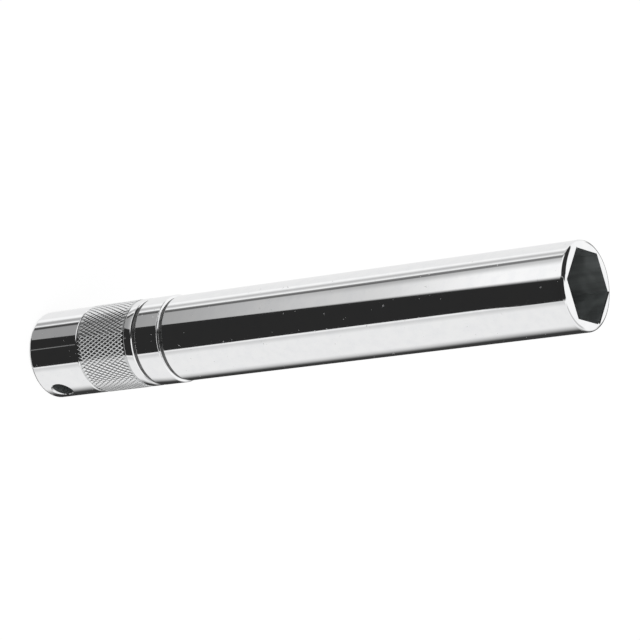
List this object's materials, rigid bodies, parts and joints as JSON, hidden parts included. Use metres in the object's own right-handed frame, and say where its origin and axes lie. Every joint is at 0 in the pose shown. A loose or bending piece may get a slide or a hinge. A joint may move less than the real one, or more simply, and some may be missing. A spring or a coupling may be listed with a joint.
{
  "type": "spark plug socket",
  "caption": "Long chrome steel spark plug socket: knurled square-drive end, two marking grooves, open hexagon mouth and a rubber grip insert inside.",
  "frame": {"origin": "centre of the drive end's face, on the socket's axis", "axes": "+Z along the socket's axis towards the hexagon's mouth, +X through the hole for the driver's ball"},
  "size_m": [0.0218, 0.0218, 0.154],
  "materials": {
    "chromed_steel": "bright polished chrome plating outside, duller plating in the bores",
    "black_rubber": "moulded, matt"
  },
  "bodies": {
    "root": {"socket_body": "chromed_steel", "rubber_insert": "black_rubber"}
  },
  "joints": []
}
